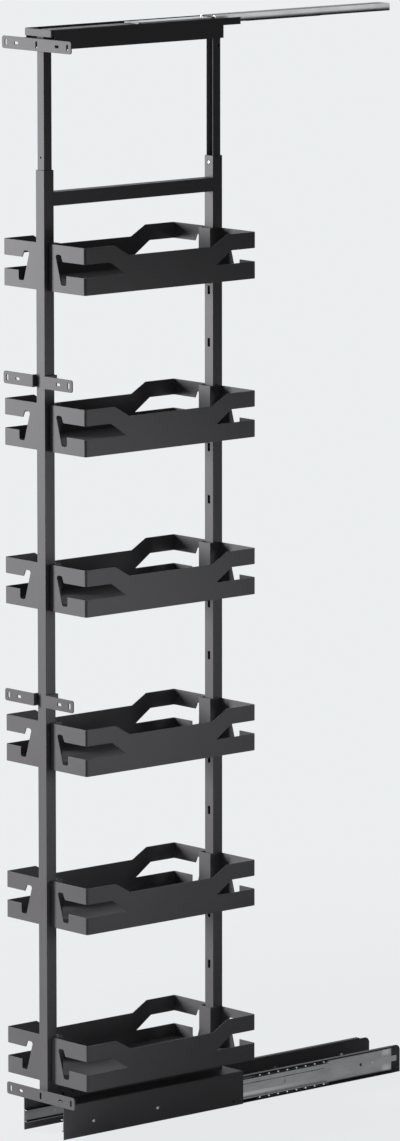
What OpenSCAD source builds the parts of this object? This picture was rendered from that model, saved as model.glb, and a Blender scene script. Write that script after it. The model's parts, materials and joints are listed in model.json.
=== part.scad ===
// Pull-out larder unit: six sheet-steel baskets on a two-post frame that rolls
// out of a tall cabinet on a pair of floor slides and one ceiling slide.
// X runs across the unit, Y from the door to the back of the cabinet, Z up.
// The origin is the centre of the floor screws, on the cabinet floor, and the
// unit is drawn pulled out to its stop.

/* [Fit in the cabinet] */
// Travel from pulled out to pushed home
travel = 427; // [300:1:450]
// Cabinet floor to the top face of the ceiling rail
rail_height = 2231; // [2175:1:2290]
// Cabinet floor to the underside of the lowest basket
first_basket_z = 110; // [108:1:140]

/* [Baskets] */
// Rise from one basket to the next
basket_pitch = 320; // [300:1:322]
// Width of a basket
basket_w = 250; // [220:1:400]
// Length of a basket
basket_l = 450; // [420:1:455]
// Height of a basket wall at its ends
basket_h = 94; // [88:1:99]
// Sheet thickness of a basket
basket_t = 2; // [1.5:0.1:2.5]
// Outside radius of a basket corner
corner_r = 5; // [4:0.5:12]
// Length of the high end of a side wall
side_high_l = 77; // [50:1:90]
// Length of the slope down to the low middle of a side wall
side_slope_l = 38; // [25:1:60]
// Drop from the high end to the low middle
side_drop = 21.5; // [10:1:30]
// Height of the lower edge of the corner notch
notch_low_z = 34.5; // [28:0.5:38]
// Height of the upper edge of the corner notch
notch_high_z = 61.4; // [52:0.2:66]
// Length of the corner notch along a side wall
notch_l = 106; // [70:1:120]
// Width of the return along the foot of a side wall
lip_w = 12; // [8:0.5:16]
// Thickness of the floor panel
floor_t = 8; // [4:0.5:12]

/* [Basket hangers] */
// Outside width of the pocket that takes the post
pocket_w = 35; // [33:0.5:38]
// Gap between the pocket and the inner face of the post
pocket_gap = 10; // [8:0.5:14]
// Thickness of a hook
hook_t = 3; // [2:0.5:4]

/* [Posts] */
// Side of a lower post
post_w = 25; // [24:0.5:27]
// Wall of a lower post
post_t = 2; // [1.5:0.1:2.5]
// Height of the lower posts above the carriage
post_h = 1877.5; // [1860:0.5:1895]
// How far a post stands proud of the basket ends
post_proud = 9.5; // [5:0.5:12]
// Wall of an upper post
inner_post_t = 1.5; // [1:0.1:2]
// Depth of the groove in an upper post
groove_d = 10; // [8:0.5:11]
// How far the upper posts reach down into the lower ones
post_overlap = 250; // [180:1:280]
// Width of a hook slot
slot_w = 7; // [5:0.5:9]
// Height of a hook slot
slot_h = 17; // [16.5:0.1:19]
// Height of a hook slot's centre above the foot of its basket
slot_up = 74; // [70:0.5:78]
// Height of the upper crossbar
crossbar_h = 27.5; // [20:0.5:34]
// Underside of the upper crossbar below the top of the lower posts
crossbar_drop = 71.5; // [66:0.5:90]
// Height of the lower beam
beam_h = 26; // [20:0.5:30]
// Wall of the crossbar and of the lower beam
bar_t = 1.5; // [1:0.1:2.5]

/* [Door brackets] */
// Overall width of a door bracket
bracket_w = 210; // [180:1:240]
// Height of a door bracket
bracket_h = 25; // [20:0.5:30]
// Sheet thickness of a door bracket
bracket_t = 2.5; // [1.5:0.1:3]
// How far the brackets stand in front of the posts
bracket_ahead = 8; // [6:0.5:12]
// Spacing of the two round door holes
door_hole_span = 124; // [110:1:140]
// Spacing of the two upright door slots
door_slot_span = 187; // [170:1:196]
// Width of a door hole
door_hole_d = 5.5; // [4:0.1:7]
// Length of a door hole, which lies level
door_hole_l = 12; // [8:0.5:18]
// Height of a middle bracket's centre above the foot of its basket
mid_bracket_up = 140; // [120:0.5:150]
// Outside width of a middle bracket's pocket
bracket_pocket_w = 36; // [33:0.5:40]

/* [Floor slides] */
// Length of each floor slide member
slide_l = 480; // [460:1:490]
// Height of a floor slide
slide_h = 56; // [50:0.5:60]
// Thickness of a slide
slide_d = 12.5; // [12.3:0.1:14]
// Ball diameter of a floor slide
ball_d = 6; // [5:0.1:6]
// Sheet thickness of the slide members
slide_t = 1.5; // [1.2:0.1:1.6]
// Height of the slide's underside above the cabinet floor
slide_lift = 3; // [2.5:0.5:6]

/* [Ceiling slide] */
// Length of each ceiling slide member
top_slide_l = 482; // [460:1:490]
// Width of the ceiling slide
top_slide_w = 45; // [42:0.5:50]
// Thickness of the ceiling slide
top_slide_d = 16.4; // [14:0.1:18]
// Ball diameter of the ceiling slide
top_ball_d = 4.8; // [4:0.1:5]

/* [Base and carriage] */
// Length of the base bracket
base_l = 506; // [500:1:560]
// Outside width of the base bracket
base_w = 96; // [90:0.5:110]
// Sheet thickness of the base bracket
base_t = 2; // [1.5:0.1:3]
// Height of the base bracket
base_h = 58; // [52:0.5:62]
// Length of the carriage cover
cover_l = 482; // [478:0.5:520]
// Gap between the skirts of the cover and the cabinet floor
cover_foot = 2.5; // [2:0.5:8]
// Sheet thickness of the carriage cover
cover_t = 1.5; // [1:0.1:1.5]
// Distance from the front of the cover to the baskets
basket_setback = 9; // [5:0.5:20]

/* [Top tray] */
// Outside width of the top tray
tray_w = 87; // [78:0.5:100]
// Length of the top tray
tray_l = 498; // [490:1:510]
// Depth of the ceiling above the rim of the top tray
tray_rim_gap = 3.5; // [1:0.5:8]
// Height of the side panels of the top tray
tray_side_h = 39.5; // [34:0.5:46]
// Length of the side panels of the top tray
tray_side_l = 449; // [440:1:460]
// Sheet thickness of the top tray
tray_t = 1.5; // [1:0.1:2]

/* [Hidden] */
$fn = 32;
seat = 0.3;            // gap where one moving piece rests on another
slack = 0.3;           // clearance between sliding sheet parts
e = 1;                 // overshoot of every cut

// heights
cover_gap = 11;        // floor slides to the cover's underside
bracket_drop = 4;      // tray floor to the top door bracket
clamp_drop = 13.5;     // top of a lower post to its set screw
slide_z = slide_lift + slide_h / 2;
cover_top = slide_lift + slide_h + cover_gap + cover_t;
cover_h = cover_top - cover_foot;
post_top = cover_top + post_h;
crossbar_z = post_top - crossbar_drop;
tray_floor_z = rail_height - top_slide_d - tray_t;
tray_rim_z = rail_height - tray_rim_gap;
inner_post_z = post_top - post_overlap;
inner_post_l = tray_floor_z - inner_post_z;
top_bracket_z = tray_floor_z - bracket_drop - bracket_h;
clamp_z = post_top - clamp_drop;
function basket_z(i) = first_basket_z + basket_pitch * (i - 1);

// lengths: the fixed members start at the front of the base bracket, the
// middle members move a fixed share of the travel, and the moving members end
// just inside the cover
mid_share = 185 / 427;
top_mid_share = 194 / 427;
cover_tail = 2;        // cover past the back ends of the moving members
top_setback = 14;      // ceiling slide behind the front of the floor slides
base_front = -base_l / 2;
outer_rear = base_front + slide_l;
mid_front = base_front - travel * mid_share;
inner_front = base_front - travel;
cover_front = inner_front;
cover_rear = cover_front + cover_l;
inner_l = cover_l - cover_tail;
basket_front = cover_front + basket_setback;
basket_rear = basket_front + basket_l;
front_post_y = basket_front - post_proud + post_w / 2;
rear_post_y = basket_rear + post_proud - post_w / 2;
front_inner_face = front_post_y + post_w / 2;
rear_inner_face = rear_post_y - post_w / 2;
bracket_face = front_post_y - post_w / 2 - bracket_ahead;
top_outer_front = base_front + top_setback;
top_outer_rear = top_outer_front + top_slide_l;
top_mid_front = top_outer_front - travel * top_mid_share;
top_inner_front = top_outer_front - travel;
tray_front = bracket_face + bracket_t + 2;

// posts and hooks: a hook's neck fills half its slot, so that lifting the
// basket by the other half brings the tip up to where it can be drawn out
post_play = 0.5;
inner_post_w = post_w - 2 * (post_t + post_play);
slots_per_pitch = 3;
basket_count = 6;
slot_count = slots_per_pitch * (basket_count - 1) + 1;
hook_neck_h = slot_h / 2;
hook_drop = slot_h / 2 - 1;
hook_tip_l = 2.5;

// upright slots of the door brackets
door_slot_w = 5.5;
door_slot_h = 13;
centre_slot_h = 14;
bracket_corner_r = 5;

// screws
thread_r = 2.1;
screw_hole_r = 2.2;
head_r = 3.8;
head_h = 2.2;

// slide section: across the slide from the back of the outer member (u), and
// up it from its centre line (v)
ball_gap = 0.1;
cage_t = 0.6;
mid_t = 1.2;
outer_cage_u = slide_t + slack;
mid_u = outer_cage_u + cage_t + slack;
inner_cage_u = mid_u + mid_t + slack;
inner_u = inner_cage_u + cage_t + slack;
base_half = base_w / 2;
cover_w = base_w + 2 * (slide_d + cover_t);

// colours
anthracite = [0.23, 0.23, 0.24];
steel = [0.74, 0.75, 0.77];
zinc = [0.82, 0.83, 0.84];
board = [0.55, 0.55, 0.56];
polymer = [0.9, 0.9, 0.88];

// ---------------------------------------------------------------- helpers

// extrudes an X-Z outline along Y, from y0 for the length l
module along_y(y0, l)
    translate([0, y0 + l, 0])
        rotate([90, 0, 0])
            linear_extrude(l)
                children();

// extrudes a Y-Z outline along X, from x0 for the length l
module along_x(x0, l)
    translate([x0, 0, 0])
        rotate([90, 0, 90])
            linear_extrude(l)
                children();

// a hole or pin along Y
module y_rod(x, y0, z, r, l)
    translate([x, y0, z])
        rotate([-90, 0, 0])
            cylinder(r = r, h = l);

// a hole or pin along X
module x_rod(x0, y, z, r, l)
    translate([x0, y, z])
        rotate([0, 90, 0])
            cylinder(r = r, h = l);

// pan-head screw: head on the plane z = 0, shank below it
module screw(shank_l) {
    cylinder(r1 = head_r, r2 = head_r * 0.7, h = head_h);
    translate([0, 0, -shank_l])
        cylinder(r = thread_r, h = shank_l);
}

// a rectangle with round corners, centred
module rounded_2d(w, l, r) {
    square([w - 2 * r, l], center = true);
    square([w, l - 2 * r], center = true);
    for (sx = [-1, 1], sy = [-1, 1])
        translate([sx * (w / 2 - r), sy * (l / 2 - r)])
            circle(r = r);
}

module tube_2d(w, h, t)
    difference() {
        square([w, h], center = true);
        square([w - 2 * t, h - 2 * t], center = true);
    }

// an upright slot with round ends, centred
module upright_slot_2d(w, h) {
    square([w, h - w], center = true);
    for (s = [-1, 1])
        translate([0, s * (h - w) / 2])
            circle(d = w);
}

// -------------------------------------------------------- slide sections

// the two ball rows and the arms between them, measured up from the centre line
function outer_row(half, ball) = half - slide_t - ball_gap - ball / 2;
function mid_half(half, ball) = outer_row(half, ball) - ball / 2 - ball_gap;
function inner_row(half, ball) = mid_half(half, ball) - slide_t - ball_gap - ball / 2;
function inner_half(half, ball) = inner_row(half, ball) - ball / 2 - ball_gap;
function row_u(d) = d / 2 + 0.75;

// outer member: a C with small lips that keep the balls in
module outer_2d(half, d) {
    lip = 1.2;
    translate([0, -half])
        square([slide_t, 2 * half]);
    for (s = [-1, 1])
        scale([1, s]) {
            translate([0, half - slide_t])
                square([d - 2, slide_t]);
            translate([d - 3, half - slide_t - lip])
                square([1, lip + slide_t]);
        }
}

// middle member: a channel with a ball row outside and inside each arm
module middle_2d(half, ball, d) {
    arm = mid_half(half, ball);
    translate([mid_u, -arm])
        square([mid_t, 2 * arm]);
    for (s = [-1, 1])
        scale([1, s])
            translate([mid_u, arm - slide_t])
                square([d - 1.9 - mid_u, slide_t]);
}

// inner member: a channel that opens towards the outer one
module inner_2d(half, ball, d) {
    arm = inner_half(half, ball);
    translate([d - slide_t, -arm])
        square([slide_t, 2 * arm]);
    for (s = [-1, 1])
        scale([1, s])
            translate([inner_u, arm - slide_t])
                square([d - inner_u, slide_t]);
}

// ball cage: a web with a pierced arm along each ball row
module cage(row, ball, d, web_u, y0, n)
    difference() {
        along_y(y0, cage_l(n))
            for (s = [-1, 1])
                scale([1, s]) {
                    translate([web_u, 0])
                        square([cage_t, row + cage_t / 2]);
                    translate([web_u, row - cage_t / 2])
                        square([d - 1.1 - web_u, cage_t]);
                }
        for (s = [-1, 1], k = [0:n - 1])
            translate([row_u(d), y0 + cage_margin + k * ball_step, s * row - ball / 2])
                cylinder(r = ball / 2 + 0.15, h = ball);
    }

module ball_rows(row, ball, d, y0, n)
    for (s = [-1, 1], k = [0:n - 1])
        translate([row_u(d), y0 + cage_margin + k * ball_step, s * row])
            sphere(d = ball);

// puts a slide drawn in (u, v) on one side of the base bracket
module floor_side(side)
    mirror([side > 0 ? 0 : 1, 0, 0])
        translate([base_half, 0, slide_z])
            children();

module both_sides() {
    floor_side(1)
        children();
    floor_side(-1)
        children();
}

// lays a slide drawn in (u, v) flat under the ceiling, open side down
module at_ceiling()
    translate([0, 0, rail_height])
        rotate([0, 90, 0])
            children();

// places along the slides: pulled out, the outer cages are at the back ends of
// the middle members and the inner cages at their front ends
ball_step = 25.4;
cage_margin = 12;
outer_ball_n = 8;
inner_ball_n = 7;
cage_gap = 12;
function cage_l(n) = (n - 1) * ball_step + 2 * cage_margin;
outer_cage_y = mid_front + slide_l - cage_l(outer_ball_n);
inner_cage_y = mid_front + cage_gap;
top_outer_cage_y = top_mid_front + top_slide_l - cage_l(outer_ball_n);
top_inner_cage_y = top_mid_front + cage_gap;

// screws, rivets and the holes that give access to them
rivet_r = 2.5;
rivet_head_r = 4;
rivet_inset = 42;
rivet_back_inset = 54;
access_hole_r = 3.2;
access_hole_back = 86;
mid_hole_r = 4;
mid_hole_inset = 60;
mid_hole_back = 118;
skirt_screw_inset = 78;
skirt_screw_step = 170.5;
tray_screw_inset = 70;
tray_screw_step = 155;
rivet_ys = [base_front + rivet_inset, base_front + slide_l / 2, outer_rear - rivet_back_inset];
skirt_screw_ys = [cover_front + skirt_screw_inset,
                  cover_front + skirt_screw_inset + skirt_screw_step];
tray_screw_ys = [for (k = [0:2]) tray_front + tray_screw_inset + k * tray_screw_step];

// ------------------------------------------------------- fixed to cabinet

base_hole_x = 60;
base_hole_y = 400;
base_hole_r = 2.75;
base_corner_r = 12;

// U channel on the cabinet floor, its flanges rounded at the back
module base_bracket()
    color(anthracite)
        difference() {
            union() {
                translate([-base_half, base_front, 0])
                    cube([base_w, base_l, base_t]);
                for (x = [-base_half, base_half - base_t])
                    along_x(x, base_t) {
                        translate([base_front, 0])
                            square([base_l, base_h - base_corner_r]);
                        translate([base_front, 0])
                            square([base_l - base_corner_r, base_h]);
                        translate([-base_front - base_corner_r, base_h - base_corner_r])
                            circle(r = base_corner_r);
                    }
            }
            for (sx = [-1, 1], sy = [-1, 1])
                translate([sx * base_hole_x / 2, sy * base_hole_y / 2, -e])
                    cylinder(r = base_hole_r, h = base_t + 2 * e);
            for (y = rivet_ys)
                x_rod(-base_half - e, y, slide_z, rivet_r, base_w + 2 * e);
        }

// fixed member of a floor slide, with the tongues that stop it at the back
module floor_slide_outer(side) {
    tongue_l = 15;
    tongue_v = slide_h / 2 - 2.4;
    color(steel)
        floor_side(side)
            difference() {
                union() {
                    along_y(base_front, slide_l)
                        outer_2d(slide_h / 2, slide_d);
                    translate([0, outer_rear - e, -6])
                        cube([slide_t, tongue_l + e, 12]);
                    for (s = [-1, 1])
                        translate([0, outer_rear - e, s * tongue_v - 1])
                            cube([slide_t, tongue_l + e, 2]);
                }
                for (y = rivet_ys)
                    x_rod(-e, y, 0, rivet_r, slide_t + 2 * e);
                x_rod(-e, outer_rear - access_hole_back, 0, access_hole_r, slide_t + 2 * e);
            }
}
module floor_slide_outer_right() floor_slide_outer(1);
module floor_slide_outer_left() floor_slide_outer(-1);

// flush rivets that hold the fixed members on the flanges
module base_rivets()
    color(zinc)
        both_sides()
            for (y = rivet_ys) {
                x_rod(-base_t, y, 0, rivet_r, base_t + slide_t);
                x_rod(-base_t - 1, y, 0, rivet_head_r, 1);
            }

// ----------------------------------------------------- floor slides, moving

module floor_slide_middle(side)
    color(steel)
        floor_side(side)
            difference() {
                along_y(mid_front, slide_l)
                    middle_2d(slide_h / 2, ball_d, slide_d);
                for (y = [mid_front + mid_hole_inset, mid_front + slide_l - mid_hole_back])
                    x_rod(mid_u - e, y, 0, mid_hole_r, mid_t + 2 * e);
            }
module floor_slide_middle_right() floor_slide_middle(1);
module floor_slide_middle_left() floor_slide_middle(-1);

module floor_outer_cages()
    color(zinc)
        both_sides()
            cage(outer_row(slide_h / 2, ball_d), ball_d, slide_d, outer_cage_u,
                 outer_cage_y, outer_ball_n);

module floor_outer_balls()
    color(steel)
        both_sides()
            ball_rows(outer_row(slide_h / 2, ball_d), ball_d, slide_d,
                      outer_cage_y, outer_ball_n);

module floor_inner_cages()
    color(zinc)
        both_sides()
            cage(inner_row(slide_h / 2, ball_d), ball_d, slide_d, inner_cage_u,
                 inner_cage_y, inner_ball_n);

module floor_inner_balls()
    color(steel)
        both_sides()
            ball_rows(inner_row(slide_h / 2, ball_d), ball_d, slide_d,
                      inner_cage_y, inner_ball_n);

// --------------------------------------------------------------- carriage

module floor_slide_inner(side)
    color(steel)
        floor_side(side)
            difference() {
                along_y(inner_front, inner_l)
                    inner_2d(slide_h / 2, ball_d, slide_d);
                for (y = skirt_screw_ys)
                    x_rod(slide_d - slide_t - e, y, 0, screw_hole_r, slide_t + 2 * e);
            }
module floor_slide_inner_right() floor_slide_inner(1);
module floor_slide_inner_left() floor_slide_inner(-1);

ear_screw_x = 36;
ear_screw_back = 23.5;
ear_screw_y = bracket_face + ear_screw_back;
skirt_hole_r = 2.5;
skirt_hole_back = 26;
skirt_hole_up = 9.5;
cover_bend_r = 3;

// the cover's section: a top sheet and two skirts with round bends
module cover_2d(r) {
    half = cover_w / 2;
    difference() {
        union() {
            translate([-half, cover_foot])
                square([cover_w, cover_h - r]);
            translate([-half + r, cover_foot])
                square([cover_w - 2 * r, cover_h]);
            for (s = [-1, 1])
                translate([s * (half - r), cover_top - r])
                    circle(r = r);
        }
        translate([-half + cover_t, cover_foot - e])
            square([cover_w - 2 * cover_t, cover_h - cover_t + e]);
    }
}

// folded cover that hangs over the floor slides
module carriage_cover() {
    half = cover_w / 2;
    color(anthracite)
        difference() {
            along_y(cover_front, cover_l)
                cover_2d(cover_bend_r);
            for (y = skirt_screw_ys)
                x_rod(-half - e, y, slide_z, screw_hole_r, cover_w + 2 * e);
            x_rod(-half - e, cover_rear - skirt_hole_back, cover_foot + skirt_hole_up,
                  skirt_hole_r, cover_w + 2 * e);
            for (s = [-1, 1])
                translate([s * ear_screw_x, ear_screw_y, cover_top - cover_t - e])
                    cylinder(r = screw_hole_r, h = cover_t + 2 * e);
        }
}

// the screws through the skirts into the moving members
module slide_screws()
    color(zinc)
        both_sides()
            for (y = skirt_screw_ys)
                translate([slide_d + cover_t, y, 0])
                    rotate([0, 90, 0])
                        screw(cover_t + slide_t + 0.5);

beam_hole_insets = [15.5, 43];
beam_hole_r = 3;

// box beam between the feet of the posts, with two bolt holes at each end
module lower_beam()
    color(anthracite)
        difference() {
            along_y(front_inner_face, rear_inner_face - front_inner_face)
                translate([0, cover_top + beam_h / 2])
                    tube_2d(post_w, beam_h, bar_t);
            for (inset = beam_hole_insets)
                for (y = [front_inner_face + inset, rear_inner_face - inset])
                    x_rod(-post_w / 2 - e, y, cover_top + beam_h / 2, beam_hole_r, post_w + 2 * e);
        }

module crossbar()
    color(anthracite)
        along_y(front_inner_face, rear_inner_face - front_inner_face)
            translate([0, crossbar_z + crossbar_h / 2])
                tube_2d(post_w, crossbar_h, bar_t);

// lower post, with the hook slots up the side that faces the baskets;
// toward is +1 when that side faces +Y
module post(toward, holes_z)
    difference() {
        translate([0, 0, cover_top])
            linear_extrude(post_h)
                tube_2d(post_w, post_w, post_t);
        for (k = [0:slot_count - 1])
            translate([0, toward * (post_w - post_t) / 2,
                       first_basket_z + slot_up + k * basket_pitch / slots_per_pitch])
                cube([slot_w, post_t + 2 * e, slot_h], center = true);
        for (z = holes_z)
            y_rod(0, toward > 0 ? 0 : -post_w, z, clamp_r + 0.1, post_w);
    }
clamp_r = 2.4;
mid_bracket_zs = [basket_z(3) + mid_bracket_up, basket_z(5) + mid_bracket_up];

module front_post()
    color(anthracite)
        translate([0, front_post_y, 0])
            post(1, concat([clamp_z], mid_bracket_zs));

module rear_post()
    color(anthracite)
        translate([0, rear_post_y, 0])
            post(-1, [clamp_z]);

// ---------------------------------------------------------- door brackets

// plate that the door is screwed to, standing on the height z
module bracket_plate(z)
    along_y(bracket_face, bracket_t)
        translate([0, z + bracket_h / 2])
            difference() {
                rounded_2d(bracket_w, bracket_h, bracket_corner_r);
                upright_slot_2d(door_slot_w, centre_slot_h);
                bracket_holes_2d();
            }

module bracket_holes_2d()
    for (s = [-1, 1]) {
        translate([s * door_hole_span / 2, 0])
            rotate(90)
                upright_slot_2d(door_hole_d, door_hole_l);
        translate([s * door_slot_span / 2, 0])
            upright_slot_2d(door_slot_w, door_slot_h);
    }

// bracket on the carriage cover: a plate and two ears, one each side of the post
module bottom_door_bracket() {
    ear_x = 46;
    ear_y = 32.5;
    color(anthracite) {
        bracket_plate(cover_top);
        difference() {
            translate([-ear_x, bracket_face, cover_top])
                cube([2 * ear_x, ear_y, bracket_t]);
            translate([-post_w / 2 - slack, bracket_face + bracket_ahead - slack, cover_top - e])
                cube([post_w + 2 * slack, ear_y, bracket_t + 2 * e]);
            translate([0, bracket_face - e, cover_top + bracket_h / 2])
                rotate([-90, 0, 0])
                    linear_extrude(bracket_t + 2 * e)
                        upright_slot_2d(door_slot_w, centre_slot_h);
            for (s = [-1, 1])
                translate([s * ear_screw_x, ear_screw_y, cover_top - e])
                    cylinder(r = screw_hole_r, h = bracket_t + 2 * e);
        }
    }
}

// bracket round the front upper post, welded to it under the tray
module top_door_bracket() {
    leg_x = tray_w / 2 - tray_t;
    leg_y = 42.5;
    color(anthracite) {
        bracket_plate(top_bracket_z);
        difference() {
            translate([-leg_x, bracket_face, top_bracket_z + bracket_h - bracket_t])
                cube([2 * leg_x, leg_y, bracket_t]);
            translate([-inner_post_w / 2, front_post_y - inner_post_w / 2, top_bracket_z])
                cube([inner_post_w, inner_post_w, bracket_h + e]);
        }
    }
}

// bracket folded round the back of the front post, at the height z
module mid_bracket(z) {
    half = bracket_pocket_w / 2;
    depth = front_inner_face - bracket_face + bracket_t;
    color(anthracite)
        difference() {
            intersection() {
                translate([0, 0, z - bracket_h / 2])
                    linear_extrude(bracket_h) {
                        translate([-half, front_inner_face])
                            square([2 * half, bracket_t]);
                        for (s = [-1, 1])
                            scale([s, 1]) {
                                translate([half - bracket_t, bracket_face])
                                    square([bracket_t, depth]);
                                translate([half - bracket_t, bracket_face])
                                    square([bracket_w / 2 - half + bracket_t, bracket_t]);
                            }
                    }
                along_y(bracket_face, depth)
                    translate([0, z])
                        rounded_2d(bracket_w, bracket_h, bracket_corner_r);
            }
            along_y(bracket_face - e, bracket_t + 2 * e)
                translate([0, z])
                    bracket_holes_2d();
            y_rod(0, front_inner_face - e, z, screw_hole_r, bracket_t + 2 * e);
        }
}
module lower_door_bracket() mid_bracket(mid_bracket_zs[0]);
module upper_door_bracket() mid_bracket(mid_bracket_zs[1]);

// the screws of the lower three door brackets
module bracket_screws()
    color(zinc) {
        for (z = mid_bracket_zs)
            translate([0, front_inner_face + bracket_t, z])
                rotate([-90, 0, 0])
                    screw(bracket_t + post_t);
        for (s = [-1, 1])
            translate([s * ear_screw_x, ear_screw_y, cover_top + bracket_t])
                screw(bracket_t + cover_t + 1);
    }

// set screws through the lower posts that bear in the grooves of the upper ones
module clamp_screws() {
    len = post_w / 2 - inner_post_w / 2 + groove_d - seat;
    key_d = 2.5;
    color(zinc)
        for (toward = [1, -1])
            translate([0, toward > 0 ? front_inner_face : rear_inner_face, clamp_z])
                rotate([toward > 0 ? 90 : -90, 0, 0])
                    difference() {
                        cylinder(r = clamp_r, h = len);
                        translate([0, 0, -e])
                            cylinder(d = key_d, h = 2 + e, $fn = 6);
                    }
}

// -------------------------------------------------------------- upper frame

// upper post section: a closed half away from the baskets, a groove towards them
module upper_post_2d() {
    w = inner_post_w;
    t = inner_post_t;
    difference() {
        square([w, w], center = true);
        translate([-w / 2 + t, w / 2 - groove_d])
            square([w - 2 * t, groove_d + e]);
        translate([-w / 2 + t, -w / 2 + t])
            square([w - 2 * t, w - groove_d - 2 * t]);
    }
}

// set holes: above the lower post in the front one, below the tray in the back one
pin_hole_r = 2;
pin_hole_up = 25;
pin_hole_drop = 43;

module front_upper_post()
    color(anthracite)
        translate([0, front_post_y, 0])
            difference() {
                translate([0, 0, inner_post_z])
                    linear_extrude(inner_post_l)
                        upper_post_2d();
                y_rod(0, -inner_post_w / 2 - e, post_top + pin_hole_up, pin_hole_r,
                      inner_post_t + 2 * e);
            }

module rear_upper_post()
    color(anthracite)
        translate([0, rear_post_y, 0])
            difference() {
                translate([0, 0, inner_post_z])
                    linear_extrude(inner_post_l)
                        mirror([0, 1])
                            upper_post_2d();
                x_rod(-inner_post_w / 2 - e, (inner_post_w - groove_d) / 2,
                      tray_floor_z - pin_hole_drop, pin_hole_r, inner_post_w + 2 * e);
            }

// sheet tray: floor, upright rim open at the back, and side panels down past
// the posts
module top_tray() {
    half = tray_w / 2;
    r = 6;
    color(anthracite)
        difference() {
            union() {
                translate([0, tray_front + tray_l / 2, tray_floor_z])
                    linear_extrude(tray_t)
                        rounded_2d(tray_w, tray_l, r);
                translate([0, tray_front + tray_l / 2, tray_floor_z])
                    linear_extrude(tray_rim_z - tray_floor_z)
                        difference() {
                            rounded_2d(tray_w, tray_l, r);
                            rounded_2d(tray_w - 2 * tray_t, tray_l - 2 * tray_t, r - tray_t);
                            translate([0, tray_l / 2])
                                square([tray_w - 2 * tray_t, 2 * r], center = true);
                        }
                for (x = [-half, half - tray_t])
                    translate([x, tray_front + r, tray_rim_z - tray_side_h])
                        cube([tray_t, tray_side_l - r, tray_side_h]);
            }
            for (y = tray_screw_ys)
                translate([0, y, tray_floor_z - e])
                    cylinder(r = screw_hole_r, h = tray_t + 2 * e);
        }
}

// screws up through the tray into the ceiling slide
module tray_screws()
    color(zinc)
        for (y = tray_screw_ys)
            translate([0, y, tray_floor_z])
                rotate([180, 0, 0])
                    screw(tray_t + slide_t + 0.5);

// ------------------------------------------------------------ ceiling slide

module ceiling_slide_inner()
    color(steel)
        difference() {
            at_ceiling()
                along_y(top_inner_front, top_slide_l)
                    inner_2d(top_slide_w / 2, top_ball_d, top_slide_d);
            for (y = tray_screw_ys)
                translate([0, y, tray_floor_z])
                    cylinder(r = screw_hole_r, h = tray_t + slide_t + e);
        }

module ceiling_slide_middle()
    color(steel)
        at_ceiling()
            along_y(top_mid_front, top_slide_l)
                middle_2d(top_slide_w / 2, top_ball_d, top_slide_d);

// soft bumper clipped in the front end of the middle member
module slide_buffer() {
    inside = inner_half(top_slide_w / 2, top_ball_d) + slack;
    outside = top_slide_w / 2 - 1;
    color(polymer)
        at_ceiling() {
            along_y(top_mid_front - 8 - seat, 8) {
                translate([mid_u, -outside])
                    square([inner_u - slack - mid_u, 2 * outside]);
                for (s = [-1, 1])
                    scale([1, s])
                        translate([mid_u, inside])
                            square([8, outside - inside]);
            }
            along_y(top_mid_front - e, 8 + e)
                translate([mid_u + mid_t, -8])
                    square([inner_u - slack - mid_u - mid_t, 16]);
        }
}

module ceiling_outer_cage()
    color(zinc)
        at_ceiling()
            cage(outer_row(top_slide_w / 2, top_ball_d), top_ball_d, top_slide_d,
                 outer_cage_u, top_outer_cage_y, outer_ball_n);

module ceiling_outer_balls()
    color(steel)
        at_ceiling()
            ball_rows(outer_row(top_slide_w / 2, top_ball_d), top_ball_d, top_slide_d,
                      top_outer_cage_y, outer_ball_n);

module ceiling_inner_cage()
    color(zinc)
        at_ceiling()
            cage(inner_row(top_slide_w / 2, top_ball_d), top_ball_d, top_slide_d,
                 inner_cage_u, top_inner_cage_y, inner_ball_n);

module ceiling_inner_balls()
    color(steel)
        at_ceiling()
            ball_rows(inner_row(top_slide_w / 2, top_ball_d), top_ball_d, top_slide_d,
                      top_inner_cage_y, inner_ball_n);

rail_hole_back = 40;
rail_hole_y = 384;
rail_hole_r = 2.75;

// fixed member under the ceiling, its back corners rounded
module ceiling_slide_outer() {
    r = 9;
    color(steel)
        difference() {
            intersection() {
                at_ceiling()
                    along_y(top_outer_front, top_slide_l)
                        outer_2d(top_slide_w / 2, top_slide_d);
                translate([0, top_outer_front, rail_height - top_slide_d - e])
                    linear_extrude(top_slide_d + 2 * e) {
                        translate([-top_slide_w / 2, -e])
                            square([top_slide_w, top_slide_l - r + e]);
                        translate([-top_slide_w / 2 + r, -e])
                            square([top_slide_w - 2 * r, top_slide_l + e]);
                        for (s = [-1, 1])
                            translate([s * (top_slide_w / 2 - r), top_slide_l - r])
                                circle(r = r);
                    }
            }
            for (y = [0, rail_hole_y])
                translate([0, top_outer_rear - rail_hole_back - y, rail_height - slide_t - e])
                    cylinder(r = rail_hole_r, h = slide_t + 2 * e);
        }
}

// ------------------------------------------------------------------ baskets

// cut from a side wall: the low middle and a tapering notch at each end
module side_cut_2d() {
    low = basket_h - side_drop;
    taper = 40;
    for (end = [0, 1])
        translate([end * basket_l, 0])
            scale([1 - 2 * end, 1]) {
                polygon([[-e, notch_low_z], [notch_l, notch_low_z],
                         [notch_l - taper, notch_high_z], [-e, notch_high_z]]);
                polygon([[side_high_l, basket_h + e], [side_high_l, basket_h],
                         [side_high_l + side_slope_l, low],
                         [basket_l / 2 + e, low], [basket_l / 2 + e, basket_h + e]]);
            }
}

// accessory slot of an end wall: it climbs beside the post from the corner
// notch and drops to a wide foot
slot_top_x = [36.2, 53];
slot_foot_x = [51.2, 68];
slot_notch_x = 57.2;
slot_climb = 13.4;
slot_fall = 19.7;
slot_corner_r = 5;
slot_shift = 9.5;

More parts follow.
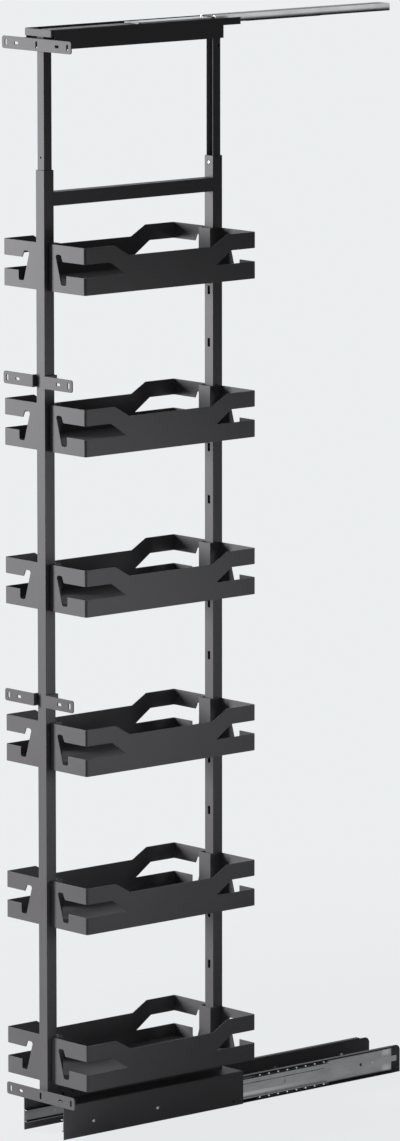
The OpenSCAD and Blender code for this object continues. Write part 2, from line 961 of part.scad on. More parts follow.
// cut from an end wall, drawn for +X: the corner notch runs on into the slot,
// which stands further out by shift
module end_cut_2d(shift) {
    top_z = notch_high_z + slot_climb - slot_corner_r;
    foot_z = notch_low_z - slot_fall + slot_corner_r;
    translate([shift, 0]) {
        polygon([[basket_w / 2 + e, notch_high_z], [slot_notch_x, notch_high_z],
                 [slot_top_x[1], top_z], [slot_top_x[0], top_z], [slot_foot_x[0], foot_z],
                 [slot_foot_x[1], foot_z], [slot_foot_x[1], notch_low_z],
                 [basket_w / 2 + e, notch_low_z]]);
        slot_end_2d(slot_top_x, top_z);
        slot_end_2d(slot_foot_x, foot_z);
    }
}

// round end of the slot between two widths, at the height z
module slot_end_2d(reach, z)
    hull()
        for (x = [reach[0] + slot_corner_r, reach[1] - slot_corner_r])
            translate([x, z])
                circle(r = slot_corner_r);

// the folded wall of a basket, open where the posts pass
module basket_shell(i) {
    half = basket_w / 2;
    color(anthracite)
        translate([0, basket_front, basket_z(i)])
            difference() {
                union() {
                    translate([0, basket_l / 2, 0])
                        linear_extrude(basket_h)
                            difference() {
                                rounded_2d(basket_w, basket_l, corner_r);
                                rounded_2d(basket_w - 2 * basket_t, basket_l - 2 * basket_t,
                                           corner_r - basket_t);
                            }
                    for (x = [-half + basket_t / 2, half - lip_w])
                        translate([x, 2 * corner_r, 0])
                            cube([lip_w - basket_t / 2, basket_l - 4 * corner_r, basket_t]);
                }
                for (x = [-half - e, half - corner_r])
                    along_x(x, corner_r + e)
                        side_cut_2d();
                for (s = [-1, 1], back = [0, 1])
                    along_y(back * (basket_l - corner_r + e) - e, corner_r + e)
                        scale([s, 1])
                            end_cut_2d(s == 2 * back - 1 ? slot_shift : 0);
                translate([-pocket_w / 2, -e, -e])
                    cube([pocket_w, basket_l + 2 * e, basket_h + 2 * e]);
            }
}

// a U pocket round a post with its hook, drawn for the front end
module hanger() {
    web_y = front_inner_face - basket_front + pocket_gap;
    wall_y = front_inner_face - basket_front - post_t - seat;
    hook_z = slot_up - slot_h / 2 + seat;
    linear_extrude(basket_h) {
        translate([-pocket_w / 2, web_y])
            square([pocket_w, basket_t]);
        for (x = [-pocket_w / 2, pocket_w / 2 - basket_t])
            translate([x, 0])
                square([basket_t, web_y + basket_t]);
    }
    along_x(-hook_t / 2, hook_t)
        polygon([[web_y + e, hook_z], [web_y + e, hook_z + hook_neck_h],
                 [wall_y - hook_tip_l, hook_z + hook_neck_h],
                 [wall_y - hook_tip_l, hook_z - hook_drop + 2],
                 [wall_y - hook_tip_l + 1, hook_z - hook_drop],
                 [wall_y, hook_z - hook_drop], [wall_y, hook_z]]);
}

module basket_hangers(i)
    color(anthracite)
        translate([0, basket_front, basket_z(i)]) {
            hanger();
            translate([0, basket_l, 0])
                mirror([0, 1, 0])
                    hanger();
        }

// loose floor panel that lies on the returns, cut out round the pockets
module basket_floor(i) {
    gap = 0.5;
    cut_l = front_inner_face - basket_front + pocket_gap + basket_t + gap;
    color(board)
        translate([0, basket_front + basket_l / 2, basket_z(i) + basket_t])
            linear_extrude(floor_t)
                difference() {
                    rounded_2d(basket_w - 2 * (basket_t + gap), basket_l - 2 * (basket_t + gap),
                               corner_r - basket_t);
                    for (s = [-1, 1])
                        translate([0, s * (basket_l - cut_l) / 2])
                            square([pocket_w + 2 * gap, cut_l], center = true);
                }
}

// ------------------------------------------------------------------- nodes

base_bracket();
floor_slide_outer_left();
floor_slide_outer_right();
base_rivets();
floor_slide_middle_left();
floor_slide_middle_right();
floor_outer_cages();
floor_outer_balls();
floor_inner_cages();
floor_inner_balls();
floor_slide_inner_left();
floor_slide_inner_right();
carriage_cover();
slide_screws();
lower_beam();
front_post();
rear_post();
crossbar();
bottom_door_bracket();
lower_door_bracket();
upper_door_bracket();
bracket_screws();
clamp_screws();
front_upper_post();
rear_upper_post();
top_tray();
top_door_bracket();
tray_screws();
ceiling_slide_inner();
ceiling_slide_middle();
slide_buffer();
ceiling_outer_cage();
ceiling_outer_balls();
ceiling_inner_cage();
ceiling_inner_balls();
ceiling_slide_outer();
basket_shell(1);  // basket_1_shell
basket_shell(2);  // basket_2_shell
basket_shell(3);  // basket_3_shell
basket_shell(4);  // basket_4_shell
basket_shell(5);  // basket_5_shell
basket_shell(6);  // basket_6_shell
basket_hangers(1);  // basket_1_hangers
basket_hangers(2);  // basket_2_hangers
basket_hangers(3);  // basket_3_hangers
basket_hangers(4);  // basket_4_hangers
basket_hangers(5);  // basket_5_hangers
basket_hangers(6);  // basket_6_hangers
basket_floor(1);  // basket_1_floor
basket_floor(2);  // basket_2_floor
basket_floor(3);  // basket_3_floor
basket_floor(4);  // basket_4_floor
basket_floor(5);  // basket_5_floor
basket_floor(6);  // basket_6_floor
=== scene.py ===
import json
import math

import bpy
from mathutils import Matrix, Vector

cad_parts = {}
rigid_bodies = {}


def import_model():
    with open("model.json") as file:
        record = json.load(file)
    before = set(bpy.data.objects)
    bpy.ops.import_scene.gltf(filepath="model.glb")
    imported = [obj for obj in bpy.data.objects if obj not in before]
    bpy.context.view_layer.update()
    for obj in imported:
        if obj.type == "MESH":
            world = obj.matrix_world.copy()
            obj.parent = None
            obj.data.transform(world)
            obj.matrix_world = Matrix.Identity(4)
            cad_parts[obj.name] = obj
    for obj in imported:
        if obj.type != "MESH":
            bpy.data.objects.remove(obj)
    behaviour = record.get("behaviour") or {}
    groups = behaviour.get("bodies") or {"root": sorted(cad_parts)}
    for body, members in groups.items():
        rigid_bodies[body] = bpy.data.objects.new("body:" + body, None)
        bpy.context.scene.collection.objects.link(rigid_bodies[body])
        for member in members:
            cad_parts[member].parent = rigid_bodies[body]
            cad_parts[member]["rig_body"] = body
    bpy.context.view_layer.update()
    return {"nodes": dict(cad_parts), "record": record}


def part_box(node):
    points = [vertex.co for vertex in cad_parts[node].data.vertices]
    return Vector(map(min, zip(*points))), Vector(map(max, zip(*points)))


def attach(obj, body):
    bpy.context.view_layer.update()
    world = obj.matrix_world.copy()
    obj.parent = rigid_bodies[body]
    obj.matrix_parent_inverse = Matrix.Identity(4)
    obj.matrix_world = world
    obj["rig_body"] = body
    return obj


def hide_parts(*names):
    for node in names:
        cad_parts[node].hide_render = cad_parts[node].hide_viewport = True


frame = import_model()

bl_info = {
    "name": "Pull-out larder unit",
    "version": (1, 0, 0),
    "blender": (4, 5, 0),
    "location": "View3D > Sidebar > Larder",
    "description": "Dresses a pull-out larder unit in powder coat, zinc and steel",
    "category": "Object",
}

NODES = frame["nodes"]
BASKETS = range(1, 7)
MM = 0.001

# Clean-up of the copied meshes: points nearer than a seam become one, and faces that
# differ by less than FLAT_ANGLE become one.
SEAM = 0.002 * MM
FLAT_ANGLE = math.radians(0.4)

# Rounding: edges sharper than SHARP_ANGLE are rounded, those flatter than SMOOTH_ANGLE
# are shaded smooth, and FACE_WEIGHT says how far large faces decide the shading.
SHARP_ANGLE = math.radians(40)
SMOOTH_ANGLE = math.radians(50)
FACE_WEIGHT = 80

# The tray's rim ends in two sharp points, where the usual rounding would fold over itself.
TRAY_SEAM = 0.1 * MM
TRAY_ROUNDING = 0.6

# Shallow panels pressed into the webs of the floor slides: half the panel's height, and
# the length left flat behind it. The inner members have none.
PANELS = {"outer": (15 * MM, 15 * MM), "middle": (8.6 * MM, 0)}
PANEL_DEPTH = 0.45 * MM
PANEL_SLOPE = 1.0 * MM
PANEL_REAR_SLOPE = 6 * PANEL_SLOPE
WEB_HALF_BAND = 4 * MM
TOUCH = 0.02 * MM

# Sockets in the screw heads. A head is known by the area of its flat top.
HEAD_TOP_RADIUS = 2.66 * MM
HEAD_AREA_SLACK = 0.1
SOCKET_RIM = 1.1 * MM
SOCKET_TAPER = 0.15 * MM
SOCKET_DEPTH = 1.2 * MM

# Bands of the slides, in the form that rolled_steel explains; most of them are painted shade
# and painted highlights.
BAND_WOBBLE = 0.0012
FLOOR_PAINTED_SHADE = (
    # painted shade: the arms and all else far above or below the web's middle
    [("Z", 0.031, (0.0205, 0.0270), (0, 0.96))],
    # a thin line of painted shade 40 mm up, along all but the rear part
    [("Z", 0.0400, (0.0007, 0.0017), (0.8, 0)), ("Y", -0.20, (0.225, 0.245), (1, 0))])
FLOOR_PAINTED_HIGHLIGHT = (
    # a painted highlight low on the web, brightest 0.20 m towards the door
    [("Z", 0.0185, (0.0020, 0.0060), (1, 0)), ("Y", -0.20, (0.02, 0.24), (1, 0))],
    # painted highlights on the upper and lower parts of the rear end
    [("Z", 0.031, (0.0060, 0.0180), (0, 1)), ("Y", 0.212, (0.004, 0.018), (1, 0))])
CEILING_SHADE_AND_DARK_TOP = (
    # painted shade: all that lies well under the top face, darker towards the bottom
    [("Z", 2.231, (0.0055, 0.0140), (0, 0.96))],
    # the top face darker in its middle, but for its outermost edges
    [("Z", 2.231, (0.0014, 0.0019), (1, 0)), ("X", 0, (0.014, 0.019), (0.9, 0))])

# The lamps: name, place, aim, (width, height), watts and spread in degrees.
LAMPS = (
    ("key_lamp", (-3.7, -3.0, 2.15), (0, -0.45, 2.15), (1.0, 2.6), 340, 180),
    ("low_lamp", (-3.7, -3.0, 0.9), (0, -0.45, 0.9), (1.0, 1.4), 50, 180),
    ("side_lamp", (2.4, 1.2, 0.85), (0.1, -1.0, 0.85), (0.8, 0.8), 1.05, 48),
    ("front_lamp", (2.2, 0.6, 1.1), (0.1, -1.1, 1.1), (0.6, 0.6), 1.0, 44))

# The floor of the stage. It glows a little, and fades out between these two distances.
FLOOR_RADIUS = 3.2
FLOOR_SIDES = 96
FLOOR_COLOUR = (0.8, 0.81, 0.82, 1)
FLOOR_GLOW = 0.93
FLOOR_FADE = (0.6, 2.6)


# -------------------------------------------------------------------- settings

class LarderFinishes(bpy.types.PropertyGroup):
    """Colours and sheens of the unit."""

    coat: bpy.props.FloatVectorProperty(
        name="Powder coat", description="Colour of the coated sheet",
        subtype="COLOR", size=3, min=0, max=1, default=(0.150, 0.1455, 0.1535))
    coat_roughness: bpy.props.FloatProperty(
        name="Coat roughness", description="Sheen of the coated sheet",
        min=0, max=1, default=0.42)
    steel: bpy.props.FloatVectorProperty(
        name="Slide steel", description="Colour of the zinc-plated slides",
        subtype="COLOR", size=3, min=0, max=1, default=(0.22, 0.22, 0.224))
    board: bpy.props.FloatVectorProperty(
        name="Basket floor", description="Colour of the coated floor panels",
        subtype="COLOR", size=3, min=0, max=1, default=(0.13, 0.13, 0.133))
    bumper: bpy.props.FloatVectorProperty(
        name="Bumper", description="Colour of the moulded bumper",
        subtype="COLOR", size=3, min=0, max=1, default=(0.72, 0.72, 0.70))
    edge_radius: bpy.props.FloatProperty(
        name="Edge radius", description="Rounding that the coat gives to a sheet's edges",
        subtype="DISTANCE", unit="LENGTH", min=0.0001, max=0.001, default=0.0004)


class LarderStage(bpy.types.PropertyGroup):
    """Camera, light and backdrop."""

    camera_place: bpy.props.FloatVectorProperty(
        name="Camera", description="Where the camera stands",
        subtype="XYZ", unit="LENGTH", size=3, default=(10.89484, -9.87584, 3.39862))
    camera_turn: bpy.props.FloatProperty(
        name="Turn", description="Turn of the view about the upright",
        subtype="ANGLE", default=math.radians(48.570))
    camera_tilt: bpy.props.FloatProperty(
        name="Tilt", description="How far the camera looks down",
        subtype="ANGLE", default=math.radians(8.9606))
    camera_roll: bpy.props.FloatProperty(
        name="Roll", description="Roll of the camera",
        subtype="ANGLE", default=math.radians(-0.037))
    lens: bpy.props.FloatProperty(
        name="Lens", description="Focal length in millimetres on a 36 mm frame",
        min=50, max=400, default=229.25)
    backdrop: bpy.props.FloatVectorProperty(
        name="Backdrop", description="Colour behind the unit",
        subtype="COLOR", size=3, min=0, max=1, default=(0.838, 0.856, 0.871))
    ambient: bpy.props.FloatProperty(
        name="Ambient", description="Strength of the light from all round",
        min=0, max=2, default=0.05)


# -------------------------------------------------------------------- finishes

class Wire:
    """A shader value that Python's own operators combine."""

    def __init__(self, finish, socket):
        self.finish = finish
        self.socket = socket

    def join(self, operation, left, right):
        return self.finish.node("ShaderNodeMath", {"operation": operation},
                                {0: left, 1: right})

    def __add__(self, other):
        return self.join("ADD", self, other)

    def __sub__(self, other):
        return self.join("SUBTRACT", self, other)

    def __mul__(self, other):
        return self.join("MULTIPLY", self, other)

    def __rsub__(self, other):
        return self.join("SUBTRACT", other, self)


class Finish:
    """A material under construction."""

    def __init__(self, name, **constants):
        self.material = bpy.data.materials.new(name)
        self.material.use_nodes = True
        self.tree = self.material.node_tree
        self.shader = self.tree.nodes["Principled BSDF"]
        for socket, value in constants.items():
            self.shader.inputs[socket.replace("_", " ")].default_value = value

    def node(self, kind, settings=None, values=None, output=0):
        """Add a shader node; a value is a Wire to link or a constant to set."""
        made = self.tree.nodes.new(kind)
        for key, value in (settings or {}).items():
            setattr(made, key, value)
        for key, value in (values or {}).items():
            if isinstance(value, Wire):
                self.tree.links.new(value.socket, made.inputs[key])
            else:
                made.inputs[key].default_value = value
        return Wire(self, made.outputs[output])

    def place(self, stretch):
        here = self.node("ShaderNodeTexCoord", output="Object")
        return self.node("ShaderNodeMapping", {}, {"Vector": here, "Scale": stretch})

    def noise(self, size, detail, stretch=(1, 1, 1)):
        """Even noise whose blotches are about size metres across."""
        return self.node("ShaderNodeTexNoise", {}, {
            "Vector": self.place(stretch), "Scale": 1 / size, "Detail": detail})

    def blend(self, share, first, second):
        """Mix the colour first with share of the colour second."""
        first = first if isinstance(first, Wire) else (*first, 1)
        made = self.tree.nodes.new("ShaderNodeMix")
        made.data_type = "RGBA"
        for place, value in ((0, share), (6, first), (7, (*second, 1))):
            if isinstance(value, Wire):
                self.tree.links.new(value.socket, made.inputs[place])
            else:
                made.inputs[place].default_value = value
        return Wire(self, made.outputs[2])

    def bump(self, height, strength, distance):
        return self.node("ShaderNodeBump", {}, {
            "Height": height, "Strength": strength, "Distance": distance})

    def feed(self, **wires):
        """Link the wires to the shader, and give the finished material."""
        for socket, wire in wires.items():
            self.tree.links.new(wire.socket, self.shader.inputs[socket.replace("_", " ")])
        return self.material


def shade(colour, factor):
    return tuple(min(1, channel * factor) for channel in colour)


def powder_coat(name, colour, roughness):
    """Sprayed coat: a fine pebbled skin, slightly uneven in tone."""
    finish = Finish(name, IOR=1.5, Specular_IOR_Level=0.06)
    skin = finish.noise(1.3 * MM, 2)
    grain = finish.noise(0.35 * MM, 1)
    drift = finish.noise(120 * MM, 3)
    tone = grain * 0.5 + drift * 0.5
    return finish.feed(
        Base_Color=finish.blend(tone, shade(colour, 0.82), shade(colour, 1.18)),
        Roughness=drift * 0.12 + grain * 0.08 + (roughness - 0.1),
        Normal=finish.bump(skin + grain * 0.4, 0.22, 0.12 * MM))


def rolled_steel(name, colour, roughness, dark_bands, painted_highlight_bands):
    """Zinc-plated strip, drawn along the slide. The dark bands are a dark, non-metal skin:
    painted shade, and on the ceiling slide's top face a darker middle. The bright bands are
    painted highlights.

    A band is a list of ramps, and lies where all of them have it. A ramp is (axis, centre,
    (from, to), (low, high)): it goes from low to high between these distances from centre.
    """
    finish = Finish(name, Specular_IOR_Level=0.06)
    streaks = finish.noise(1.2 * MM, 3, (1, 0.02, 1))
    smears = finish.noise(9 * MM, 3, (1, 0.25, 1))
    cloud = finish.noise(40 * MM, 3, (1, 0.6, 1))
    wobble = smears * BAND_WOBBLE
    darkening = strongest(finish, dark_bands, wobble)
    painted_highlight = strongest(finish, painted_highlight_bands, wobble)
    tone = streaks * 0.25 + smears * 0.4 + cloud * 0.35
    bare = finish.blend(tone, shade(colour, 0.5), shade(colour, 1.55))
    # painted highlight: brighter steel where the bright bands lie
    bright = finish.blend(painted_highlight, bare, shade(colour, 1.7))
    # where the dark bands lie the strip turns dark and not metallic; on the floor slides and
    # the ceiling slide's sides this is painted shade
    return finish.feed(
        Base_Color=finish.blend(darkening, bright, shade(colour, 0.06)),
        Metallic=1 - darkening,
        Roughness=streaks * 0.18 + cloud * 0.1 + (roughness - 0.14),
        Normal=finish.bump(streaks, 0.15, 0.05 * MM))


def strongest(finish, bands, wobble):
    """The strength, at each place, of whichever of these bands is strongest there."""
    here = finish.node("ShaderNodeTexCoord", output="Object")
    most = 0.0
    for band in bands:
        strength = 1.0
        for axis, centre, (near, far), (low, high) in band:
            along = finish.node("ShaderNodeSeparateXYZ", {}, {0: here},
                                output="XYZ".index(axis))
            apart = finish.node("ShaderNodeMath", {"operation": "ABSOLUTE"},
                                {0: along - centre})
            ramp = finish.node("ShaderNodeMapRange", {"interpolation_type": "SMOOTHSTEP"}, {
                "Value": apart + wobble, "From Min": near, "From Max": far,
                "To Min": low, "To Max": high})
            strength = ramp * strength
        most = finish.node("ShaderNodeMath", {"operation": "MAXIMUM"},
                           {0: strength, 1: most})
    return most


def plated_steel(name, colour, roughness):
    """Small plated fasteners and stampings."""
    finish = Finish(name, Metallic=1.0)
    cloud = finish.noise(2.5 * MM, 3)
    return finish.feed(
        Base_Color=finish.blend(cloud, shade(colour, 0.8), shade(colour, 1.15)),
        Roughness=cloud * 0.15 + (roughness - 0.07))


def coated_board(name, colour):
    """Basket floor: a board with a pebbled, slip-resistant film."""
    finish = Finish(name, IOR=1.45, Specular_IOR_Level=0.06)
    pebble = finish.noise(1.6 * MM, 2)
    cloud = finish.noise(60 * MM, 3)
    return finish.feed(
        Base_Color=finish.blend(pebble * 0.5 + cloud * 0.5,
                                shade(colour, 0.86), shade(colour, 1.12)),
        Roughness=pebble * 0.15 + 0.5,
        Normal=finish.bump(pebble, 0.35, 0.15 * MM))


def moulded_plastic(name, colour):
    """Smooth plastic with a very fine grain."""
    finish = Finish(name, IOR=1.47)
    texture = finish.noise(0.8 * MM, 2)
    return finish.feed(
        Base_Color=finish.blend(texture, shade(colour, 0.95), shade(colour, 1.04)),
        Roughness=texture * 0.1 + 0.38,
        Normal=finish.bump(texture, 0.15, 0.05 * MM))


FINISH_OF = {}


def make_finishes(settings):
    coat = tuple(settings.coat)
    steel = tuple(settings.steel)
    FINISH_OF.update(
        powder_coat=powder_coat("powder_coat", coat, settings.coat_roughness),
        slide_steel=rolled_steel("slide_steel", steel, 0.34, FLOOR_PAINTED_SHADE, FLOOR_PAINTED_HIGHLIGHT),
        # painted light: the ceiling slide's steel is the slide steel made 2.5 times brighter
        bright_steel=rolled_steel("bright_steel", shade(steel, 2.5), 0.3, CEILING_SHADE_AND_DARK_TOP, ()),
        fastener=plated_steel("fastener", (0.40, 0.40, 0.41), 0.32),
        ball_steel=plated_steel("ball_steel", (0.8, 0.8, 0.82), 0.14),
        floor_board=coated_board("floor_board", tuple(settings.board)),
        bumper=moulded_plastic("bumper", tuple(settings.bumper)))


def dress(obj, finish):
    obj.data.materials.clear()
    obj.data.materials.append(FINISH_OF[finish])


# -------------------------------------------------------------------- modelling

SLOT_OF = {part["node"]: part["material_slot"] for part in frame["record"]["subparts"]}


def pick(*objects):
    """Make these, and nothing else, the selection."""
    bpy.ops.object.select_all(action="DESELECT")
    for obj in objects:
        obj.select_set(True)
    bpy.context.view_layer.objects.active = objects[0]


def copied(node, seam=SEAM):
    """A part's mesh as a new object, its seams merged and its flat faces made whole."""
    mesh = NODES[node].data.copy()
    obj = bpy.data.objects.new(node + ".piece", mesh)
    bpy.context.scene.collection.objects.link(obj)
    pick(obj)
    bpy.ops.mesh.customdata_custom_splitnormals_clear()
    bpy.ops.object.mode_set(mode="EDIT")
    bpy.ops.mesh.select_all(action="SELECT")
    bpy.ops.mesh.remove_doubles(threshold=seam)
    bpy.ops.mesh.dissolve_limited(angle_limit=FLAT_ANGLE)
    bpy.ops.mesh.select_all(action="DESELECT")
    bpy.ops.object.mode_set(mode="OBJECT")
    clear_inner_walls(obj)
    return obj


def clear_inner_walls(obj):
    """Delete the walls left inside the sheet where two strips of it were joined.

    Some slide members come as two solids that touch. Once their seams are merged, each
    edge of the wall between them belongs to more than two faces.
    """
    users = {}
    for face in obj.data.polygons:
        for key in face.edge_keys:
            users[key] = users.get(key, 0) + 1
    edit_faces(obj, lambda face: all(users[key] > 2 for key in face.edge_keys))
    bpy.ops.mesh.delete(type="ONLY_FACE")
    bpy.ops.object.mode_set(mode="OBJECT")


def edit_faces(obj, chosen):
    """Go into edit mode with only the chosen faces selected."""
    pick(obj)
    bpy.context.tool_settings.mesh_select_mode = (False, False, True)
    for face in obj.data.polygons:
        face.select = chosen(face)
    bpy.ops.object.mode_set(mode="EDIT")


def applied(obj, kind, **settings):
    """Add a modifier and apply it at once."""
    pick(obj)
    step = obj.modifiers.new(kind, kind)
    for key, value in settings.items():
        setattr(step, key, value)
    bpy.ops.object.modifier_apply(modifier=step.name)


def soften(obj, radius):
    """Round the edges as a coat or a tumbling drum does."""
    applied(obj, "BEVEL", width=radius, segments=2, limit_method="ANGLE",
            angle_limit=SHARP_ANGLE, use_clamp_overlap=False)
    pick(obj)
    bpy.ops.object.shade_smooth_by_angle(angle=SMOOTH_ANGLE)
    applied(obj, "WEIGHTED_NORMAL", weight=FACE_WEIGHT, keep_sharp=True)
    return obj


def finish_of(node):
    """The material slot's finish; the ceiling slide gets a copy of the slide steel made
    brighter, which is painted light.
    """
    return "bright_steel" if node.startswith("ceiling_slide") else SLOT_OF[node]


def stand_for(obj, node):
    """Show obj in place of the part it was made from."""
    obj.name = node + ".piece"
    dress(obj, finish_of(node))
    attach(obj, NODES[node]["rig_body"])
    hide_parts(node)
    return obj


def moved_copy(obj, offset):
    """A copy with a mesh of its own, moved by offset."""
    pick(obj)
    bpy.ops.object.duplicate(linked=False)
    made = bpy.context.object
    bpy.ops.transform.translate(value=offset)
    bpy.ops.object.transform_apply(location=True, rotation=False, scale=False)
    return made


def stand_alike(obj, nodes):
    """Stand obj for the first of these like parts, and copies of it for the others."""
    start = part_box(nodes[0])[0]
    for node in nodes[1:]:
        stand_for(moved_copy(obj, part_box(node)[0] - start), node)
    stand_for(obj, nodes[0])


# ------------------------------------------------------------------- operators

class LARDER_OT_finishes(bpy.types.Operator):
    """Give every part of the unit its finish"""

    bl_idname = "larder.finishes"
    bl_label = "Finishes"

    def execute(self, context):
        make_finishes(context.scene.larder_finishes)
        for part in frame["record"]["subparts"]:
            dress(NODES[part["node"]], part["material_slot"])
        return {"FINISHED"}


class LARDER_OT_baskets(bpy.types.Operator):
    """Soften one basket's edges and copy it to each place"""

    bl_idname = "larder.baskets"
    bl_label = "Baskets"

    def execute(self, context):
        radius = context.scene.larder_finishes.edge_radius
        for piece in ("shell", "hangers", "floor"):
            nodes = [f"basket_{place}_{piece}" for place in BASKETS]
            stand_alike(soften(copied(nodes[0]), radius), nodes)
        return {"FINISHED"}


class LARDER_OT_frame(bpy.types.Operator):
    """Soften the posts, the crossbar and the beam"""

    bl_idname = "larder.frame"
    bl_label = "Frame"

    def execute(self, context):
        radius = context.scene.larder_finishes.edge_radius
        for node in ("front_post", "rear_post", "front_upper_post", "rear_upper_post",
                     "crossbar", "lower_beam"):
            stand_for(soften(copied(node), radius), node)
        return {"FINISHED"}


class LARDER_OT_sheets(bpy.types.Operator):
    """Soften the tray, the cover, the floor bracket and the door brackets"""

    bl_idname = "larder.sheets"
    bl_label = "Folded sheets"

    def execute(self, context):
        radius = context.scene.larder_finishes.edge_radius
        for node in ("carriage_cover", "base_bracket", "bottom_door_bracket",
                     "lower_door_bracket", "upper_door_bracket", "top_door_bracket"):
            stand_for(soften(copied(node), radius), node)
        tray = copied("top_tray", TRAY_SEAM)
        stand_for(soften(tray, radius * TRAY_ROUNDING), "top_tray")
        return {"FINISHED"}


class LARDER_OT_slides(bpy.types.Operator):
    """Press the floor slides' panels and round the edges of all slide members"""

    bl_idname = "larder.slides"
    bl_label = "Slides"

    def execute(self, context):
        radius = context.scene.larder_finishes.edge_radius
        for member in ("outer", "middle", "inner"):
            for side, away in (("left", -1), ("right", 1)):
                node = f"floor_slide_{member}_{side}"
                piece = copied(node)
                if member in PANELS:
                    self.press(piece, node, away, *PANELS[member])
                stand_for(soften(piece, radius), node)
            node = f"ceiling_slide_{member}"
            stand_for(soften(copied(node), radius), node)
        return {"FINISHED"}

    def press(self, piece, node, away, half_panel, tail):
        """Sink the web's outward face, inside the panel's outline, by part of the sheet."""
        low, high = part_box(node)
        middle = (low.z + high.z) / 2
        rear = high.y - tail
        cuts = [((0, 0, middle + side * reach), (0, 0, 1))
                for side in (-1, 1) for reach in (half_panel, half_panel - PANEL_SLOPE)]
        if tail > 0:
            cuts += [((0, place, 0), (0, 1, 0)) for place in (rear, rear - PANEL_REAR_SLOPE)]
            rear -= PANEL_REAR_SLOPE
        pick(piece)
        bpy.context.tool_settings.mesh_select_mode = (True, False, False)
        bpy.ops.object.mode_set(mode="EDIT")
        for place, normal in cuts:
            bpy.ops.mesh.select_all(action="SELECT")
            bpy.ops.mesh.bisect(plane_co=place, plane_no=normal)
        bpy.ops.mesh.select_all(action="DESELECT")
        bpy.ops.object.mode_set(mode="OBJECT")
        face_x = self.web_face(piece, away, middle)
        for vertex in piece.data.vertices:
            vertex.select = (abs(vertex.co.x - face_x) < TOUCH
                             and abs(vertex.co.z - middle) < half_panel - PANEL_SLOPE + TOUCH
                             and vertex.co.y < rear + TOUCH)
        bpy.ops.object.mode_set(mode="EDIT")
        bpy.ops.transform.translate(value=(-away * PANEL_DEPTH, 0, 0))
        bpy.ops.object.mode_set(mode="OBJECT")

    def web_face(self, piece, away, middle):
        """Where the web's outward face lies: the largest outward face about its middle."""
        faces = [face for face in piece.data.polygons if face.normal.x * away > 0.99
                 and abs(face.center.z - middle) < WEB_HALF_BAND]
        return max(faces, key=lambda face: face.area).center.x


class LARDER_OT_fasteners(bpy.types.Operator):
    """Round the screws, rivets and stops, and sink a socket into each screw head"""

    bl_idname = "larder.fasteners"
    bl_label = "Fasteners"

    def execute(self, context):
        radius = context.scene.larder_finishes.edge_radius
        for node in ("slide_screws", "bracket_screws", "tray_screws"):
            piece = copied(node)
            self.sink_sockets(piece)
            stand_for(soften(piece, radius / 2), node)
        for node in ("base_rivets", "clamp_screws", "slide_buffer"):
            stand_for(soften(copied(node), radius / 2), node)
        return {"FINISHED"}

    def sink_sockets(self, piece):
        top_area = math.pi * HEAD_TOP_RADIUS ** 2
        edit_faces(piece, lambda face: abs(face.area / top_area - 1) < HEAD_AREA_SLACK)
        bpy.ops.mesh.inset(thickness=SOCKET_RIM, depth=0)
        bpy.ops.mesh.inset(thickness=SOCKET_TAPER, depth=-SOCKET_DEPTH)
        bpy.ops.object.mode_set(mode="OBJECT")


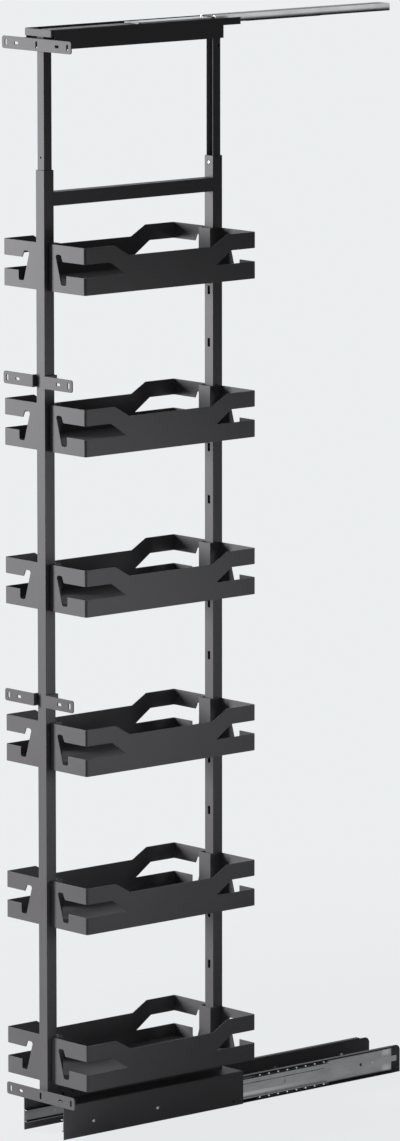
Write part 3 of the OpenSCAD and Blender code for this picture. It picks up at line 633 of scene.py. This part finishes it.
class LARDER_OT_stage(bpy.types.Operator):
    """Set the camera, the lamps, the floor and the backdrop"""

    bl_idname = "larder.stage"
    bl_label = "Stage"

    def execute(self, context):
        stage = context.scene.larder_stage
        self.set_camera(context.scene, stage)
        self.set_world(context.scene, stage)
        self.lay_floor(stage)
        for row in LAMPS:
            lamp(*row)
        context.scene.view_settings.view_transform = "Standard"
        return {"FINISHED"}

    def set_camera(self, scene, stage):
        turn, tilt = stage.camera_turn, stage.camera_tilt
        right = Vector((math.cos(turn), math.sin(turn), 0))
        back = Vector((math.sin(turn) * math.cos(tilt), -math.cos(turn) * math.cos(tilt),
                       math.sin(tilt)))
        facing = Matrix((right, back.cross(right), back)).transposed().to_4x4()
        bpy.ops.object.camera_add()
        camera = bpy.context.object
        camera.name = "camera"
        camera.matrix_world = (Matrix.Translation(stage.camera_place) @ facing
                               @ Matrix.Rotation(stage.camera_roll, 4, "Z"))
        camera.data.lens = stage.lens
        camera.data.sensor_width = 36
        camera.data.clip_end = 100
        scene.camera = camera

    def set_world(self, scene, stage):
        world = bpy.data.worlds.new("backdrop")
        world.use_nodes = True
        scene.world = world
        tree = world.node_tree
        tree.nodes.clear()
        seen = seen_rays(tree)
        lit = tree.nodes.new("ShaderNodeBackground")
        lit.inputs["Strength"].default_value = stage.ambient
        shown = tree.nodes.new("ShaderNodeBackground")
        shown.inputs["Color"].default_value = (*stage.backdrop, 1)
        mix = tree.nodes.new("ShaderNodeMixShader")
        out = tree.nodes.new("ShaderNodeOutputWorld")
        tree.links.new(seen, mix.inputs[0])
        tree.links.new(lit.outputs[0], mix.inputs[1])
        tree.links.new(shown.outputs[0], mix.inputs[2])
        tree.links.new(mix.outputs[0], out.inputs["Surface"])

    def lay_floor(self, stage):
        """A pale floor that takes the unit's shadow and fades into the backdrop."""
        bpy.ops.object.select_all(action="DESELECT")
        bpy.ops.mesh.primitive_circle_add(
            vertices=FLOOR_SIDES, radius=FLOOR_RADIUS, fill_type="NGON",
            location=(0, -0.3, -0.5 * MM))
        bpy.ops.object.transform_apply(location=True, rotation=True, scale=True)
        floor = bpy.context.object
        floor.name = "floor"
        finish = Finish("floor", Roughness=0.9)
        tree = finish.tree
        finish.shader.inputs["Base Color"].default_value = FLOOR_COLOUR
        shown = tree.nodes.new("ShaderNodeEmission")
        shown.inputs["Color"].default_value = (*stage.backdrop, 1)
        seen = Wire(finish, seen_rays(tree)) * FLOOR_GLOW
        pale = tree.nodes.new("ShaderNodeMixShader")
        tree.links.new(seen.socket, pale.inputs[0])
        tree.links.new(finish.shader.outputs[0], pale.inputs[1])
        tree.links.new(shown.outputs[0], pale.inputs[2])
        here = finish.node("ShaderNodeTexCoord", output="Object")
        reach = finish.node("ShaderNodeVectorMath", {"operation": "LENGTH"}, {0: here},
                            output=1)
        edge = finish.node("ShaderNodeMapRange", {"interpolation_type": "SMOOTHSTEP"}, {
            "Value": reach, "From Min": FLOOR_FADE[0], "From Max": FLOOR_FADE[1]})
        clear = tree.nodes.new("ShaderNodeBsdfTransparent")
        mix = tree.nodes.new("ShaderNodeMixShader")
        tree.links.new(edge.socket, mix.inputs[0])
        tree.links.new(pale.outputs[0], mix.inputs[1])
        tree.links.new(clear.outputs[0], mix.inputs[2])
        tree.links.new(mix.outputs[0], tree.nodes["Material Output"].inputs["Surface"])
        floor.data.materials.append(finish.material)


def seen_rays(tree):
    """A mask of the rays that show the backdrop: camera, mirror and glass rays."""
    path = tree.nodes.new("ShaderNodeLightPath")
    last = path.outputs["Is Camera Ray"]
    for name in ("Is Glossy Ray", "Is Transmission Ray"):
        both = tree.nodes.new("ShaderNodeMath")
        both.operation = "MAXIMUM"
        tree.links.new(last, both.inputs[0])
        tree.links.new(path.outputs[name], both.inputs[1])
        last = both.outputs[0]
    return last


def lamp(name, place, aim, size, power, spread):
    """A soft lamp, size wide and high, that points at aim; spread is its beam in degrees."""
    bpy.ops.object.light_add(type="AREA", location=place)
    made = bpy.context.object
    made.name = name
    made.rotation_euler = (Vector(aim) - Vector(place)).to_track_quat("-Z", "Y").to_euler()
    made.data.shape = "RECTANGLE"
    made.data.size, made.data.size_y = size
    made.data.energy = power
    made.data.spread = math.radians(spread)


class LARDER_PT_panel(bpy.types.Panel):
    """Lists the steps that dress the unit"""

    bl_idname = "LARDER_PT_panel"
    bl_label = "Larder unit"
    bl_space_type = "VIEW_3D"
    bl_region_type = "UI"
    bl_category = "Larder"

    def draw(self, context):
        for step in STEPS:
            self.layout.operator(step.bl_idname)


STEPS = (LARDER_OT_finishes, LARDER_OT_baskets, LARDER_OT_frame, LARDER_OT_sheets,
         LARDER_OT_slides, LARDER_OT_fasteners, LARDER_OT_stage)
CLASSES = (LarderFinishes, LarderStage, LARDER_PT_panel) + STEPS


def register():
    for item in CLASSES:
        bpy.utils.register_class(item)
    bpy.types.Scene.larder_finishes = bpy.props.PointerProperty(type=LarderFinishes)
    bpy.types.Scene.larder_stage = bpy.props.PointerProperty(type=LarderStage)


def unregister():
    del bpy.types.Scene.larder_stage
    del bpy.types.Scene.larder_finishes
    for item in reversed(CLASSES):
        bpy.utils.unregister_class(item)


def main():
    register()
    bpy.ops.larder.finishes()
    bpy.ops.larder.baskets()
    bpy.ops.larder.frame()
    bpy.ops.larder.sheets()
    bpy.ops.larder.slides()
    bpy.ops.larder.fasteners()
    bpy.ops.larder.stage()


if __name__ == "__main__":
    main()
